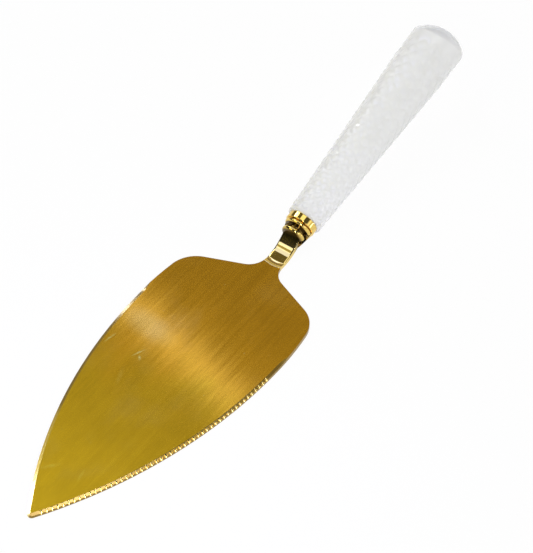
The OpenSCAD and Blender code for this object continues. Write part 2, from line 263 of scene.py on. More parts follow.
# places on the blade in millimetres from the tip, as in the solid
neckForm = {
    "sheet": 1.6, "half": 3.6, "bendFrom": 149.2, "bendRadius": 10.5, "bendAngle": 36,
    "satinEnd": 147, "sag": 0.6, "sagWidth": 3.83, "sagUntil": 152, "sagFade": 2,
    # two pressed lines: places along the neck and the extra slope there in degrees
    "press": (
        (147.05, 0), (147.1, 5.8), (147.4, 5.8), (147.5, -2.85), (148.2, -2.85), (148.25, 0),
        (148.7, 0), (149.2, 5.6), (149.7, 6), (149.95, 11), (150.7, 7), (151.5, 2),
        (152.1, -4.2), (155.9, -4.2), (156.2, 0)),
    "crown": 0.1, "edgeRound": 0.16, "edgeWidth": 0.55, "crownFrom": 147.8, "crownFull": 151,
    # start, length and strength of the dull start and of the painted shadow at the bead
    "blur": (146.5, 2.2, 0.2), "paintedShade": (155, 4.5, 0.85),
    # cuts that give the mesh its lines: first, last and step along, and places across
    "cutsAlong": (147.8, 152.1, 0.4),
    "cutsAcross": (0, 0.6, 1.2, 1.8, 2.4, 2.8, 3.05, 3.2, 3.35, 3.48),
    # small distances
    "weld": 0.001, "cutSlack": 0.0001, "slack": 0.01, "skin": 0.02, "tiny": 0.005,
    "level": 0.9999, "upward": 0.5, "crease": 32,  # normals of flat and upper faces, sharp corner
}


def scuffShare(tree, place):  # pale scratches and wiped spots
    grain = stretchedNoise(tree, (-6, 12), place, bladeLook["scuffGrain"], detail=4)
    broken = spread(tree, (-4, 12), grain, *bladeLook["scuffBreak"])
    total = None
    for row, (along, across, turn, length, width, strength) in enumerate(bladeLook["scuffs"]):
        shift = addNode(tree, "ShaderNodeMapping", (-6, 4 + row), vector_type="TEXTURE")
        shift.inputs["Location"].default_value = (cadLow.x + along * mm, across * mm, 0)
        shift.inputs["Rotation"].default_value = (0, 0, math.radians(turn))
        shift.inputs["Scale"].default_value = (length * mm, width * mm, 1)
        wire(tree, place, shift.inputs["Vector"])
        reach = addNode(tree, "ShaderNodeVectorMath", (-5, 4 + row), operation="LENGTH")
        wire(tree, shift.outputs["Vector"], reach.inputs[0])
        stroke = spread(tree, (-4, 4 + row), reach.outputs["Value"], bladeLook["scuffCore"], 1,
            strength, 0)
        if width < bladeLook["scratchWidth"]:  # a scratch is broken up, a wiped spot is not
            stroke = mathNode(tree, (-3.5, 4 + row), "MULTIPLY", stroke, broken)
        total = mathNode(tree, (-3, 4 + row), "MAXIMUM", total, stroke) if total else stroke
    return total


def satinGilt():
    look = bladeLook
    material, tree, shader = newMaterial("satinGilt")
    place = surfacePlace(tree)
    lines = placeGroup(tree, brushLines, (-5, 0), Roughness=look["satinRoughness"],
        Spread=look["satinSpread"])
    wire(tree, place, lines.inputs["Vector"])
    tint = blendColors(tree, (-3, 2), lines.outputs["Streak"], look["satinDeep"], look["satinGold"])
    split = addNode(tree, "ShaderNodeSeparateXYZ", (-7, 3))
    wire(tree, place, split.inputs["Vector"])
    cloud = stretchedNoise(tree, (-6, 3), place, look["cloudGrain"], detail=3)
    wander = mathNode(tree, (-5, 3), "ADD", split.outputs["X"],
        mathNode(tree, (-6, 2), "MULTIPLY", cloud, look["wander"] * mm))
    start = cadLow.x + look["wander"] / 2 * mm
    # painted reflection tint: olive towards the tip, orange towards the heel
    heel = spread(tree, (-4, 3), wander, start + look["oliveTo"] * mm,
        start + look["orangeFrom"] * mm, 0, 1)
    reflectionTint = blendColors(tree, (-3, 3), heel, look["olive"], look["orange"])
    tint = blendColors(tree, (-2, 2), 1, tint, reflectionTint, "MULTIPLY")
    patches = stretchedNoise(tree, (-6, 1), place, look["wipedGrain"], detail=5)
    wiped = spread(tree, (-4, 2), patches, *look["wipedEdge"], 0, 1)
    shade = blendColors(tree, (-3, 1), wiped, [look["wipedDark"]] * 3, [look["wipedPale"]] * 3)
    tint = blendColors(tree, (-1, 2), 1, tint, shade, "MULTIPLY")
    tint = blendColors(tree, (-2, 3), scuffShare(tree, place), tint, look["scuffGold"])
    marks = placeGroup(tree, handlingMarks, (-2, 1), Amount=look["satinFilm"],
        Dulling=look["satinDulling"], Film=(*look["film"], 1))
    wire(tree, place, marks.inputs["Vector"])
    wire(tree, tint, marks.inputs["Color"])
    wire(tree, lines.outputs["Roughness"], marks.inputs["Roughness"])
    wire(tree, marks.outputs["Color"], shader.inputs["Base Color"])
    wire(tree, marks.outputs["Roughness"], shader.inputs["Roughness"])
    shader.inputs["Metallic"].default_value = 1
    shader.inputs["Anisotropic"].default_value = look["satinAnisotropy"]
    tangent = addNode(tree, "ShaderNodeTangent", (-2, -2), direction_type="RADIAL", axis="X")
    wire(tree, tangent.outputs["Tangent"], shader.inputs["Tangent"])
    tilt = placeGroup(tree, brushTilt, (-2, -1), Amount=look["satinTilt"])
    wire(tree, place, tilt.inputs["Vector"])
    wire(tree, tilt.outputs["Normal"], shader.inputs["Normal"])
    return material


# shares of the roughness and of the gold in a polished gilt finish, and the gold's share in its
# painted shadow
giltShares = {"streaks": 0.3, "dulling": 0.1, "deep": 0.86, "paintedShade": 0.05}


def polishedGilt(name, gold, roughness, amount, blurFrom=None, paintedShadeFrom=None):
    material, tree, shader = newMaterial(name)
    place = surfacePlace(tree)
    lines = placeGroup(tree, brushLines, (-5, 0), Roughness=roughness,
        Spread=giltShares["streaks"] * roughness)
    if blurFrom:  # polish fades towards the satin
        split = addNode(tree, "ShaderNodeSeparateXYZ", (-7, -2))
        wire(tree, place, split.inputs["Vector"])
        start = cadLow.x + blurFrom[0] * mm
        dull = spread(tree, (-6, -2), split.outputs["X"], start, start + blurFrom[1] * mm,
            blurFrom[2], roughness)
        wire(tree, dull, lines.inputs["Roughness"])
    wire(tree, place, lines.inputs["Vector"])
    deep = tuple(giltShares["deep"] * c for c in gold)
    tint = blendColors(tree, (-3, 2), lines.outputs["Streak"], deep, gold)
    if paintedShadeFrom:  # painted shadow, darker towards the bead
        start = cadLow.x + paintedShadeFrom[0] * mm
        paintedShade = spread(tree, (-4, -2), split.outputs["X"], start, start + paintedShadeFrom[1] * mm,
            0, paintedShadeFrom[2])
        paintedDark = tuple(giltShares["paintedShade"] * c for c in gold)
        tint = blendColors(tree, (-2, 3), paintedShade, tint, paintedDark)
    marks = placeGroup(tree, handlingMarks, (-2, 1), Amount=amount,
        Dulling=giltShares["dulling"] * roughness, Film=(*bladeLook["film"], 1))
    wire(tree, place, marks.inputs["Vector"])
    wire(tree, tint, marks.inputs["Color"])
    wire(tree, lines.outputs["Roughness"], marks.inputs["Roughness"])
    wire(tree, marks.outputs["Color"], shader.inputs["Base Color"])
    wire(tree, marks.outputs["Roughness"], shader.inputs["Roughness"])
    shader.inputs["Metallic"].default_value = 1
    return material


def neckTop(x):  # height and normal of the neck's plain upper face at a place along it
    form = neckForm
    lean = math.radians(form["bendAngle"])
    beyond = x - form["bendFrom"]
    if beyond <= 0:
        return form["sheet"], (0, 1)
    straight = form["bendRadius"] * math.sin(lean)
    turn = math.asin(beyond / form["bendRadius"]) if beyond < straight else lean
    height = form["sheet"] + form["bendRadius"] * (1 - math.cos(turn))
    height += max(0, beyond - straight) * math.tan(lean)
    return height, (-math.sin(turn), math.cos(turn))


def pressHeight(x):  # the slopes added up from the blade to this place
    height = 0
    for (start, first), (end, second) in zip(neckForm["press"], neckForm["press"][1:]):
        run = min(max(x - start, 0), end - start)
        height += run * (first + (second - first) * run / (end - start) / 2)
    return math.radians(height)


def crownDrop(x, y):  # how far the pressed face lies below the plain one
    form = neckForm
    share = min(1, max(0, (x - form["crownFrom"]) / (form["crownFull"] - form["crownFrom"])))
    share = share * share * (3 - 2 * share)
    edge = max(0, (abs(y) - form["half"]) / form["edgeWidth"] + 1)
    drop = share * (form["crown"] * (y / form["half"]) ** 2 + form["edgeRound"] * edge * edge)
    return drop - pressHeight(x)


def neckSag(x, y):  # the pressed lines curve towards the blade
    form = neckForm
    fade = min(1, max(0, (form["sagUntil"] - x) / form["sagFade"]))
    return form["sag"] * fade * max(0, 1 - (y / form["sagWidth"]) ** 2)


def bladeMesh():  # the solid's own mesh, with a crowned neck and two fine lines across it
    form = neckForm
    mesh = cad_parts["blade"].data.copy()
    mesh.name = "bladeSheet"
    stored = mesh.attributes.get("custom_normal")
    if stored:
        mesh.attributes.remove(stored)
    work = bmesh.new()
    work.from_mesh(mesh)
    bmesh.ops.remove_doubles(work, verts=work.verts, dist=form["weld"] * mm)

    def cut(faces, point, normal):
        parts = set(faces) | {e for f in faces for e in f.edges}
        parts |= {v for f in faces for v in f.verts}
        bmesh.ops.bisect_plane(work, geom=list(parts), dist=form["cutSlack"] * mm,
            plane_co=point, plane_no=normal)

    pressed = [x for x, slope in form["press"]]
    for x in [form["satinEnd"], *np.arange(*form["cutsAlong"]), *pressed]:
        cut(work.faces[:], (cadLow.x + x * mm, 0, 0), (1, 0, 0))
    neckFrom = cadLow.x + (form["satinEnd"] - form["slack"]) * mm
    for y in form["cutsAcross"]:
        for side in ((1, -1) if y else (1,)):
            neck = [f for f in work.faces if min(v.co.x for v in f.verts) > neckFrom]
            cut(neck, (0, side * y * mm, 0), (0, 1, 0))
    work.normal_update()
    for edge in work.edges:
        if len(edge.link_faces) == 2:
            flat = [abs(f.normal.z) > form["level"] for f in edge.link_faces]
            corner = edge.calc_face_angle(0)
            edge.smooth = flat[0] == flat[1] and corner < math.radians(form["crease"])
    top = {}
    for point in work.verts:
        x, y, z = (point.co.x - cadLow.x) / mm, point.co.y / mm, point.co.z / mm
        height, normal = neckTop(x)
        if x < form["satinEnd"] - form["slack"] or abs(z - height) * normal[1] > form["skin"]:
            continue
        moved = x - neckSag(x, y)
        height, normal = neckTop(moved)
        top[point.index] = (x, y, normal)
        drop = crownDrop(x, y)
        point.co.x = cadLow.x + (moved - drop * normal[0]) * mm
        point.co.z = (height - drop * normal[1]) * mm
    work.to_mesh(mesh)
    work.free()
    mesh.polygons.foreach_set("use_smooth", [True] * len(mesh.polygons))
    normals = [(0, 0, 0)] * len(mesh.loops)
    tiny, inward = form["tiny"], form["skin"]
    for face in mesh.polygons:
        if face.normal.z < form["upward"] or not all(index in top for index in face.vertices):
            continue
        middle = sum(top[index][0] for index in face.vertices) / len(face.vertices)
        for loop in face.loop_indices:
            x, y, normal = top[mesh.loops[loop].vertex_index]
            x += inward if x < middle else -inward
            slopeX = (crownDrop(x + tiny, y) - crownDrop(x - tiny, y)) / (2 * tiny)
            slopeY = (crownDrop(x, y + tiny) - crownDrop(x, y - tiny)) / (2 * tiny)
            normals[loop] = Vector((normal[0] + slopeX * normal[1], slopeY,
                normal[1] - slopeX * normal[0])).normalized()
    mesh.normals_split_custom_set(normals)
    marks = mesh.attributes.new("polish", "BOOLEAN", "FACE")
    for face in mesh.polygons:
        inTop = all(index in top for index in face.vertices)
        marks.data[face.index].value = inTop or face.center.x > cadLow.x + form["satinEnd"] * mm
    return mesh


# places of the finishes in the blade's list of materials
finishSlots = {"satin": 0, "polish": 1, "bevel": 2, "tooth": 3, "groove": 4}


def faceFinish(face, polished):
    rise = face.normal.z
    if polished:
        return "polish"
    if abs(rise) > bladeLook["flatSlope"]:
        return "satin"
    if face.center.y > 0:
        return "bevel"
    return "groove" if bladeLook["wallSlope"] < rise < bladeLook["bevelSlope"] else "tooth"


def makeBlade():
    mesh = bladeMesh()
    mesh.materials.clear()
    look = bladeLook
    polish, ground = look["polishGold"], look["bevelFilm"]
    for finish in (
            satinGilt(),
            polishedGilt("polishedGilt", polish, look["polishRoughness"], look["polishFilm"],
                blurFrom=neckForm["blur"], paintedShadeFrom=neckForm["paintedShade"]),
            polishedGilt("groundGilt", polish, look["bevelRoughness"], ground),
            # painted shade on the bevel between the grooves
            polishedGilt("toothShadeGilt", look["toothShade"], look["toothRoughness"], ground),
            polishedGilt("grooveGilt", polish, look["grooveRoughness"], look["polishFilm"])):
        mesh.materials.append(finish)
    polished = [item.value for item in mesh.attributes["polish"].data]
    for face in mesh.polygons:
        face.material_index = finishSlots[faceFinish(face, polished[face.index])]
    blade = bpy.data.objects.new("bladeSheet", mesh)
    scene.collection.objects.link(blade)
    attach(blade, "root")
    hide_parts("blade")
    print("blade made,", len(mesh.vertices), "points")


makeBlade()


# handle sizes in millimetres, as in the solid

handleForm = {
    "angle": 14, "frontRadius": 6.95, "backRadius": 10.65, "taper": 77, "length": 97.29,
    "domeRadius": 13.7, "domeDrop": 2, "edgeRound": 0.8, "buttTop": 1.2, "buttUnder": 5,
    "relief": 0.3, "columns": 12, "valley": 1.4, "crown": 1.5, "plain": 12.4, "mouthRadius": 3.4,
    "rimRadius": 6,  # outer radius of the ferrule, which gives the axis its place
    # rings and points of the mesh, middle ring of the front face, space behind its rounded edge
    "perDiamond": 16, "edgeSteps": 9, "plainSteps": 9, "cornerSteps": 13, "domeSteps": 24,
    "mouthMiddle": 5, "clear": 0.05,
    # in rows of diamonds: where the relief starts and stops, and over how far
    "fadeIn": (0.35, 0.2), "fadeOut": (0.1, 0.15), "pastEnd": 0.125,
}


def handleRim(lean):  # middle of the ferrule's mouth
    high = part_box("ferrule")[1]
    reach = handleForm["rimRadius"] * mm
    return Vector((high.x - reach * math.sin(lean), 0, high.z - reach * math.cos(lean)))


# turned metal: bolster and ferrule

turnedLook = {
    "gold": (0.84, 0.60, 0.16), "roughness": 0.05, "film": 0.15,
    # painted shade in the cove: its colour and its strongest share
    "coveShade": (0.10, 0.06, 0.02), "coveShadeMost": 0.9,
    "unshaded": 5, "coveShaded": 4.1,  # radii in millimetres between which the painted cove shade fades in
    # painted shade on the tail under the neck and on the bead's front face: colour, roughness, film
    "tail": (0.12, 0.08, 0.03), "tailRoughness": 0.15, "tailFilm": 0.05,
    "under": 1.7, "beads": 7.9,  # depth under the neck, length up to the front bead
    "slack": 0.02,
    "facingDown": -0.35, "facingFront": -0.9,  # parts of the normals
}


def addCoveShade(material):  # painted shade in the cove, darker nearer the turned axis
    tree = material.node_tree
    shader = tree.nodes["Principled BSDF"]
    lean = math.radians(handleForm["angle"])
    rim = handleRim(lean)
    turned = addNode(tree, "ShaderNodeMapping", (-6, 4), vector_type="TEXTURE")
    turned.inputs["Location"].default_value = rim
    turned.inputs["Rotation"].default_value = (0, -lean, 0)
    wire(tree, surfacePlace(tree, (-7, 4)), turned.inputs["Vector"])
    split = addNode(tree, "ShaderNodeSeparateXYZ", (-5, 4))
    wire(tree, turned.outputs["Vector"], split.inputs["Vector"])
    square = mathNode(tree, (-4, 4), "ADD",
        mathNode(tree, (-4.5, 4.5), "POWER", split.outputs["Y"], 2),
        mathNode(tree, (-4.5, 3.5), "POWER", split.outputs["Z"], 2))
    paintedShade = spread(tree, (-2, 4), mathNode(tree, (-3, 4), "SQRT", square),
        turnedLook["coveShaded"] * mm, turnedLook["unshaded"] * mm, turnedLook["coveShadeMost"], 0)
    unshaded = shader.inputs["Base Color"].links[0].from_socket
    coveShaded = blendColors(tree, (-1, 3), paintedShade, unshaded, turnedLook["coveShade"])
    wire(tree, coveShaded, shader.inputs["Base Color"])


def dressTurned():
    look = turnedLook
    gilt = polishedGilt("turnedGilt", look["gold"], look["roughness"], look["film"])
    addCoveShade(gilt)
    for name in ("bolster", "ferrule"):
        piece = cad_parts[name]
        piece.data.materials.clear()
        piece.data.materials.append(gilt)
    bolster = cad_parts["bolster"].data
    paintedDark = polishedGilt("tailGilt", look["tail"], look["tailRoughness"], look["tailFilm"])
    bolster.materials.append(paintedDark)
    bend = math.radians(neckForm["bendAngle"])
    flatX = neckForm["bendFrom"] + neckForm["bendRadius"] * math.sin(bend)
    flatZ = neckTop(flatX)[0]
    lean = math.radians(handleForm["angle"])
    along = Vector((math.cos(lean), 0, math.sin(lean)))
    above = Vector((-math.sin(lean), 0, math.cos(lean)))
    front = handleRim(lean) - along * look["beads"] * mm
    for face in bolster.polygons:  # painted shade: dark tail under the neck and dark front face of the bead
        x, z = (face.center.x - cadLow.x) / mm - flatX, face.center.z / mm - flatZ
        under = z * math.cos(bend) - x * math.sin(bend) < -look["under"]
        ahead = (face.center - front).dot(along) < -look["slack"] * mm
        tail = under and (ahead or face.normal.dot(above) < look["facingDown"])
        face.material_index = int(tail or face.normal.dot(along) < look["facingFront"])
    print("bolster and ferrule dressed")


dressTurned()


# rod and cement inside the handle

insideLook = {
    "rodDeep": (0.42, 0.42, 0.44), "rodPale": (0.55, 0.55, 0.57),
    "rodRoughness": 0.35, "rodSpread": 0.15,
    "cementDeep": (0.48, 0.46, 0.41), "cementPale": (0.70, 0.68, 0.62),
    "cementRoughness": 0.9, "cementGrain": (900, 900, 900),
    "bumpStrength": 0.5, "bumpDepth": 0.2,
}


def dressInside():
    look = insideLook
    steel, tree, shader = newMaterial("bareRod")
    lines = placeGroup(tree, brushLines, (-4, 0), Roughness=look["rodRoughness"],
        Spread=look["rodSpread"])
    wire(tree, surfacePlace(tree), lines.inputs["Vector"])
    grey = blendColors(tree, (-2, 1), lines.outputs["Streak"], look["rodDeep"], look["rodPale"])
    wire(tree, grey, shader.inputs["Base Color"])
    wire(tree, lines.outputs["Roughness"], shader.inputs["Roughness"])
    shader.inputs["Metallic"].default_value = 1
    cement, tree, shader = newMaterial("setCement")
    grain = stretchedNoise(tree, (-4, 0), surfacePlace(tree), look["cementGrain"], detail=6)
    sand = blendColors(tree, (-2, 1), grain, look["cementDeep"], look["cementPale"])
    wire(tree, sand, shader.inputs["Base Color"])
    shader.inputs["Roughness"].default_value = look["cementRoughness"]
    addBump(tree, (-1, -1), grain, look["bumpStrength"], look["bumpDepth"] * mm, shader)
    for name, material, slotName in (("tang", steel, "steel"), ("cement", cement, "cement")):
        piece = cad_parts[name]
        piece.data.materials.clear()
        piece.data.materials.append(material)
    print("rod and cement dressed")


dressInside()


# porcelain handle with raised diamonds

def handleRings():
    form = handleForm
    around = form["columns"] * form["perDiamond"]
    turns = np.arange(around) * 2 * math.pi / around
    column = np.arange(around) / form["perDiamond"]
    slope = (form["backRadius"] - form["frontRadius"]) / form["taper"]
    share = 2 * math.pi / form["columns"]
    taperRows = math.log(form["backRadius"] / form["frontRadius"]) / (share * slope)
    straight = form["length"] - form["plain"] - form["taper"]
    rowEnd = math.floor(taperRows + straight / (share * form["backRadius"])) + 0.5
    domeFrom = form["length"] - math.sqrt(form["domeRadius"] ** 2 - form["domeDrop"] ** 2)
    rings = []
    one = np.ones(around)
    mouthEdge = form["frontRadius"] - form["edgeRound"]
    for radius in (form["mouthRadius"], form["mouthMiddle"], mouthEdge):
        rings.append((radius * one, 0 * one, one))
    for k in np.linspace(0, 1, form["edgeSteps"])[1:]:
        lean = k * math.pi / 2
        rings.append(((form["frontRadius"] - form["edgeRound"] * (1 - math.sin(lean))) * one,
            form["edgeRound"] * (1 - math.cos(lean)) * one, one))
    fadeIn, overIn = form["fadeIn"]
    fadeOut, overOut = form["fadeOut"]
    steps = np.arange(form["perDiamond"] * (rowEnd + form["pastEnd"]) + 1) / form["perDiamond"]
    for row in steps:
        place = form["frontRadius"] * (math.exp(share * slope * row) - 1) / slope
        if row > taperRows:
            place = form["taper"] + share * form["backRadius"] * (row - taperRows)
        if place <= form["edgeRound"] + form["clear"]:
            continue
        height = np.cos(math.pi * (column + row)) * np.cos(math.pi * (column - row))
        height = 1 - (1 - np.abs(height) ** form["valley"]) ** form["crown"]
        fade = min(1, max(0, (row - fadeIn) / overIn))
        fade *= min(1, max(0, (rowEnd + fadeOut - row) / overOut))
        lift = 1 - fade * (1 - height)
        radius = min(form["backRadius"], form["frontRadius"] + slope * place)
        rings.append((radius - form["relief"] * (1 - lift), place * one, lift))
    rounding = form["buttTop"] + form["buttUnder"]
    rounding = (rounding + (form["buttUnder"] - form["buttTop"]) * np.cos(turns)) / 2
    inward = form["backRadius"] - rounding
    across = inward - form["domeDrop"] * np.cos(turns)
    reach = np.sqrt(form["domeRadius"] ** 2 - (form["domeDrop"] * np.sin(turns)) ** 2) - rounding
    along = np.sqrt(reach ** 2 - across ** 2)
    lastPlace = rings[-1][1]
    plainEnd = domeFrom + along
    for k in np.linspace(0, 1, form["plainSteps"])[1:-1]:
        rings.append((form["backRadius"] * one, lastPlace + k * (plainEnd - lastPlace), one))
    for k in np.linspace(0, 1, form["cornerSteps"]):
        lean = k * np.arctan2(along, across)
        rings.append((inward + rounding * np.cos(lean), plainEnd + rounding * np.sin(lean), one))
    edge = rings[-1][0]
    for k in np.linspace(1, 0, form["domeSteps"])[1:-1]:
        radius = edge * k
        rise = form["domeRadius"] ** 2 - (radius * np.cos(turns) - form["domeDrop"]) ** 2
        rise = np.sqrt(rise - (radius * np.sin(turns)) ** 2)
        rings.append((radius, domeFrom + rise, one))
    return turns, rings


def makeHandle():
    form = handleForm
    turns, rings = handleRings()
    lean = math.radians(form["angle"])
    along = Vector((math.cos(lean), 0, math.sin(lean)))
    under = Vector((math.sin(lean), 0, -math.cos(lean)))
    rim = handleRim(lean)
    around = len(turns)
    radius = np.array([r for r, z, l in rings])
    place = np.array([z for r, z, l in rings])
    lifts = np.array([l for r, z, l in rings]).ravel()
    local = np.stack([radius * np.cos(turns), radius * np.sin(turns), place], axis=-1)
    local = local.reshape(-1, 3)
    top = np.array([[0, 0, form["length"]]])
    local = np.concatenate([local, top]) * mm
    axes = np.array([under, (0, 1, 0), along])
    points = local @ axes + np.array(rim)
    count = len(rings)
    j, i = np.meshgrid(np.arange(count - 1), np.arange(around), indexing="ij")
    a = j * around + i
    b = j * around + (i + 1) % around
    faces = np.stack([a, a + around, b + around, b], axis=-1).reshape(-1, 4).tolist()
    base = (count - 1) * around
    faces += [[base + k, count * around, base + (k + 1) % around] for k in range(around)]
    faces.append(list(range(around)))
    mesh = bpy.data.meshes.new("porcelainHandle")
    mesh.from_pydata(points.tolist(), [], faces)
    lift = mesh.attributes.new("lift", "FLOAT", "POINT")
    lift.data.foreach_set("value", np.append(lifts, 1).astype(np.float32))
    work = bmesh.new()
    work.from_mesh(mesh)
    bmesh.ops.recalc_face_normals(work, faces=work.faces)
    work.to_mesh(mesh)
    work.free()
    mesh.polygons.foreach_set("use_smooth", [True] * len(mesh.polygons))
    handle = bpy.data.objects.new("porcelainHandle", mesh)
    scene.collection.objects.link(handle)
    mesh.materials.append(porcelain())
    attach(handle, "root")
    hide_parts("handle")
    print("handle made,", len(mesh.vertices), "points")


porcelainLook = {
    "bodyDeep": (0.86, 0.862, 0.85), "bodyPale": (0.90, 0.90, 0.89), "bodyGrain": (70, 70, 70),
    # glaze gathers in the valleys: its tint, its share and the heights between which it fades
    "pool": (0.84, 0.845, 0.83), "poolShare": 0.15, "poolEdge": (0.1, 0.75),
    "roughness": 0.14, "ior": 1.52, "scatter": 5,  # depth of the scattered light in millimetres
    "ripple": (420, 420, 420), "rippleStrength": 0.02, "rippleDepth": 0.1,
}


def porcelain():
    look = porcelainLook
    material, tree, shader = newMaterial("glazedPorcelain")
    place = surfacePlace(tree)
    lift = addNode(tree, "ShaderNodeAttribute", (-7, 2), attribute_name="lift")
    pooled = spread(tree, (-5, 2), lift.outputs["Fac"], *look["poolEdge"], 1, 0)
    cloud = stretchedNoise(tree, (-6, 0), place, look["bodyGrain"], detail=3)
    body = blendColors(tree, (-3, 1), cloud, look["bodyDeep"], look["bodyPale"])
    share = mathNode(tree, (-3, 2), "MULTIPLY", pooled, look["poolShare"])
    wire(tree, blendColors(tree, (-2, 1), share, body, look["pool"]), shader.inputs["Base Color"])
    shader.inputs["Roughness"].default_value = look["roughness"]
    shader.inputs["IOR"].default_value = look["ior"]
    shader.inputs["Subsurface Weight"].default_value = 1
    shader.inputs["Subsurface Radius"].default_value = (1, 1, 1)
    shader.inputs["Subsurface Scale"].default_value = look["scatter"] * mm
    ripple = stretchedNoise(tree, (-6, -2), place, look["ripple"], detail=2)
    addBump(tree, (-1, -1), ripple, look["rippleStrength"], look["rippleDepth"] * mm, shader)
    return material


makeHandle()


# stage: white floor that keeps a faint shadow, soft lights, camera

stageLook = {
    "floorSize": 5, "floorDrop": 0.02, "floorWhite": (0.93, 0.93, 0.93),
    "floorPale": (0.95, 0.95, 0.95), "floorGrain": (300, 300, 300),
    "floorRoughness": 0.9, "floorGloss": 0.1, "floorGlow": 0.96,
    # brightness of the world and the heights or sides between which it fades
    "sweepLevel": 0.95, "frontLevel": 0.1, "ceilingLevel": 0.06,
    "nearSide": (-0.05, 0.25), "beside": (-0.75, -0.5), "low": (0.4, 0.6), "horizon": (0.08, 0.22),
    # camera: direction, distance and target in millimetres, small shift, lens in picture elements
    "view": (-0.55, -0.393, 0.737), "distance": 1480, "target": (141.2, -1.80, 0.8),
    "aimShift": 0.185, "pixelsHigh": 553, "lensPixels": 4000, "sensor": 36, "clip": (0.05, 50),
}


def makeFloor():
    look = stageLook
    material, tree, shader = newMaterial("paperFloor")
    output = tree.nodes["Material Output"]
    grain = stretchedNoise(tree, (-4, 0), surfacePlace(tree), look["floorGrain"])
    paper = blendColors(tree, (-2, 0), grain, look["floorWhite"], look["floorPale"])
    wire(tree, paper, shader.inputs["Base Color"])
    shader.inputs["Roughness"].default_value = look["floorRoughness"]
    shader.inputs["Specular IOR Level"].default_value = look["floorGloss"]
    glow = addNode(tree, "ShaderNodeEmission", (0, -2))
    glow.inputs["Strength"].default_value = 1
    rays = addNode(tree, "ShaderNodeLightPath", (-3, -3)).outputs
    mirrored = mathNode(tree, (-2, -3), "MAXIMUM", rays["Is Glossy Ray"],
        rays["Is Transmission Ray"])
    seen = mathNode(tree, (-1, -3), "MAXIMUM", rays["Is Camera Ray"], mirrored)
    share = mathNode(tree, (0, -3), "MULTIPLY", seen, look["floorGlow"])
    mixed = addNode(tree, "ShaderNodeMixShader", (2, 0))
    wire(tree, share, mixed.inputs["Fac"])
    wire(tree, shader.outputs["BSDF"], mixed.inputs[1])
    wire(tree, glow.outputs["Emission"], mixed.inputs[2])
    wire(tree, mixed.outputs["Shader"], output.inputs["Surface"])
    half = look["floorSize"] / 2
    corners = [(-half, -half, 0), (half, -half, 0), (half, half, 0), (-half, half, 0)]
    mesh = bpy.data.meshes.new("paperFloor")
    mesh.from_pydata(corners, [], [(0, 1, 2, 3)])
    floor = bpy.data.objects.new("paperFloor", mesh)
    floor.location.z = -look["floorDrop"] * mm
    mesh.materials.append(material)
    scene.collection.objects.link(floor)


def makeWorld():  # pale sweep at the horizon and beside the blade, dark ceiling behind
    look = stageLook
    world = bpy.data.worlds.new("studio")
    world.use_nodes = True
    scene.world = world
    tree = world.node_tree
    back = tree.nodes["Background"]
    place = addNode(tree, "ShaderNodeTexCoord", (-4, 0))
    split = addNode(tree, "ShaderNodeSeparateXYZ", (-3, 0))
    wire(tree, place.outputs["Generated"], split.inputs["Vector"])
    nearSide = spread(tree, (-2, 1), split.outputs["Y"], *look["nearSide"], 1, 0)
    beside = spread(tree, (-2, 0), split.outputs["Y"], *look["beside"], 1, 0)
    lowDown = spread(tree, (-2, -1), split.outputs["Z"], *look["low"], 1, 0)
    horizon = spread(tree, (-2, -2), split.outputs["Z"], *look["horizon"], 1, 0)
    above = mathNode(tree, (-1, 1), "MULTIPLY_ADD", nearSide,
        look["frontLevel"] - look["ceilingLevel"])
    above.node.inputs[2].default_value = look["ceilingLevel"]
    wing = mathNode(tree, (-1.5, -1), "MULTIPLY", beside, lowDown)
    sweep = mathNode(tree, (-1, -1), "MAXIMUM", horizon, wing)
    level = mathNode(tree, (0, 0), "MULTIPLY_ADD", sweep, look["sweepLevel"] - look["frontLevel"])
    wire(tree, above, level.node.inputs[2])
    wire(tree, level, back.inputs["Color"])
    back.inputs["Strength"].default_value = 1


